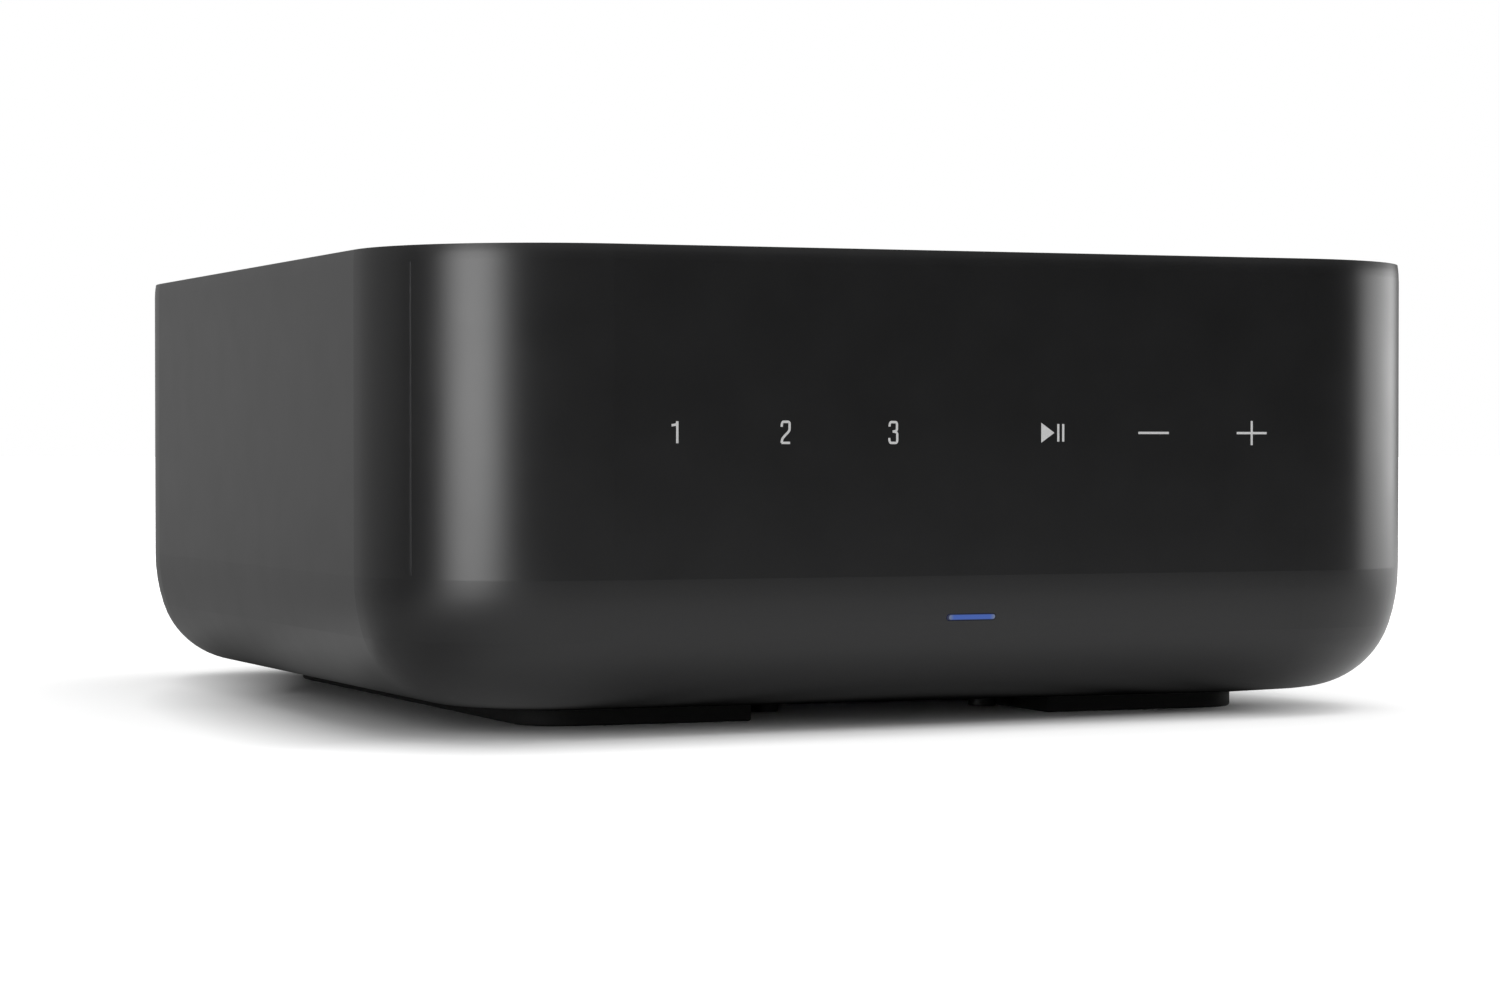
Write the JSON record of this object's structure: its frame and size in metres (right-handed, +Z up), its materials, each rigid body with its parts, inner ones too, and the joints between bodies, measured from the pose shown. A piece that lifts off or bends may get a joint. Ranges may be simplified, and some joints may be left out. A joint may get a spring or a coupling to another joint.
{
  "type": "streaming amplifier",
  "caption": "Compact streaming amplifier with touch signs and a status light in front, rubber foot rails, and speaker posts, jacks and a mains inlet behind.",
  "frame": {"origin": "bottom centre of the whole object, on the surface that the foot rails stand on", "axes": "+X to the right as seen from the front, +Y to the rear, +Z up"},
  "size_m": [0.217, 0.2418, 0.0888],
  "materials": {
    "shell_abs": "satin moulded, near black",
    "lid_abs": "satin moulded, near black",
    "foot_rubber": "matt black",
    "panel_abs": "fine grain, black",
    "black_nylon": "moulded black",
    "red_nylon": "moulded red",
    "light_pipe_acrylic": "clear blue, lit",
    "diffuser_acrylic": "opal white",
    "board_laminate": "green solder mask",
    "zinc_steel": "zinc plated",
    "black_steel": "black screws and plates",
    "gold_brass": "gold plated",
    "tin_steel": "bright tin plate",
    "heatsink_aluminium": "black anodised",
    "thermal_silicone": "soft grey",
    "ferrite": "dull ferrite",
    "capacitor_sleeve": "shrunk sleeve",
    "chip_epoxy": "moulded epoxy",
    "lead_pvc": "grey insulation",
    "flex_polyimide": "amber film",
    "film_box": "moulded box",
    "fuse_glass": "clear glass in clips",
    "red_cap": "moulded red",
    "black_cap": "moulded black"
  },
  "bodies": {
    "root": {"main_shell": "shell_abs", "top_panel": "lid_abs", "lid_screws": "zinc_steel", "base_plate": "black_steel", "base_screws": "black_steel", "foot_rail_left": "foot_rubber", "foot_rail_right": "foot_rubber", "status_light_pipe": "light_pipe_acrylic", "icon_diffuser": "diffuser_acrylic", "light_baffle": "black_nylon", "front_board": "board_laminate", "front_leds": "diffuser_acrylic", "front_flex": "flex_polyimide", "rear_panel": "panel_abs", "rear_screws": "black_steel", "post_bases_red": "red_nylon", "post_bases_black": "black_nylon", "post_studs": "gold_brass", "post_nuts": "gold_brass", "terminal_board": "board_laminate", "speaker_ribbon": "lead_pvc", "ethernet_jack": "tin_steel", "usb_port": "tin_steel", "optical_jack": "black_nylon", "aux_jack": "black_nylon", "sub_jack": "black_nylon", "sub_jack_barrel": "gold_brass", "setup_switch": "tin_steel", "mains_inlet": "black_nylon", "mains_pins": "tin_steel", "mains_leads": "lead_pvc", "chassis_tray": "zinc_steel", "board_standoffs": "gold_brass", "inner_screws": "zinc_steel", "psu_board": "board_laminate", "psu_transformer": "ferrite", "psu_capacitors": "capacitor_sleeve", "psu_choke": "ferrite", "psu_fuse": "fuse_glass", "amp_board": "board_laminate", "amp_chips": "chip_epoxy", "thermal_pads": "thermal_silicone", "heatsink": "heatsink_aluminium", "amp_inductors": "ferrite", "amp_capacitors": "film_box", "dc_ribbon": "lead_pvc", "main_board": "board_laminate", "shield_can": "tin_steel", "wireless_module": "board_laminate"},
    "setup_button": {"setup_button": "black_nylon"},
    "optical_shutter": {"optical_shutter": "black_nylon"},
    "post_ring_1": {"post_ring_1": "gold_brass"},
    "post_cap_1": {"post_cap_1": "red_cap"},
    "post_ring_2": {"post_ring_2": "gold_brass"},
    "post_cap_2": {"post_cap_2": "black_cap"},
    "post_ring_3": {"post_ring_3": "gold_brass"},
    "post_cap_3": {"post_cap_3": "red_cap"},
    "post_ring_4": {"post_ring_4": "gold_brass"},
    "post_cap_4": {"post_cap_4": "black_cap"}
  },
  "joints": [
    {"name": "setup_button_press", "type": "slide", "parent": "root", "child": "setup_button", "axis": [0, -1, 0], "range_m": [0, 0.0005], "stiffness_N_per_m": 800},
    {"name": "optical_shutter_swing", "type": "hinge", "parent": "root", "child": "optical_shutter", "pos_m": [0.01389, 0.10765, 0.04745], "axis": [-1, 0, 0], "range_deg": [0, 85], "stiffness_Nm_per_rad": 0.0002},
    {"name": "post_ring_1_slide", "type": "slide", "parent": "root", "child": "post_ring_1", "axis": [0, 1, 0], "range_m": [0, 0.004]},
    {"name": "post_cap_1_turn", "type": "hinge", "parent": "post_ring_1", "child": "post_cap_1", "pos_m": [0.049, 0.11065, 0.0667], "axis": [0, 1, 0], "range_deg": [0, 1440]},
    {"name": "post_ring_2_slide", "type": "slide", "parent": "root", "child": "post_ring_2", "axis": [0, 1, 0], "range_m": [0, 0.004]},
    {"name": "post_cap_2_turn", "type": "hinge", "parent": "post_ring_2", "child": "post_cap_2", "pos_m": [0.02995, 0.11065, 0.0667], "axis": [0, 1, 0], "range_deg": [0, 1440]},
    {"name": "post_ring_3_slide", "type": "slide", "parent": "root", "child": "post_ring_3", "axis": [0, 1, 0], "range_m": [0, 0.004]},
    {"name": "post_cap_3_turn", "type": "hinge", "parent": "post_ring_3", "child": "post_cap_3", "pos_m": [0.00795, 0.11065, 0.0667], "axis": [0, 1, 0], "range_deg": [0, 1440]},
    {"name": "post_ring_4_slide", "type": "slide", "parent": "root", "child": "post_ring_4", "axis": [0, 1, 0], "range_m": [0, 0.004]},
    {"name": "post_cap_4_turn", "type": "hinge", "parent": "post_ring_4", "child": "post_cap_4", "pos_m": [-0.0111, 0.11065, 0.0667], "axis": [0, 1, 0], "range_deg": [0, 1440]}
  ],
  "couplings": [
    {"joint": "post_ring_1_slide", "follows": "post_cap_1_turn", "m_per_rad": 0.00015915},
    {"joint": "post_ring_2_slide", "follows": "post_cap_2_turn", "m_per_rad": 0.00015915},
    {"joint": "post_ring_3_slide", "follows": "post_cap_3_turn", "m_per_rad": 0.00015915},
    {"joint": "post_ring_4_slide", "follows": "post_cap_4_turn", "m_per_rad": 0.00015915}
  ]
}
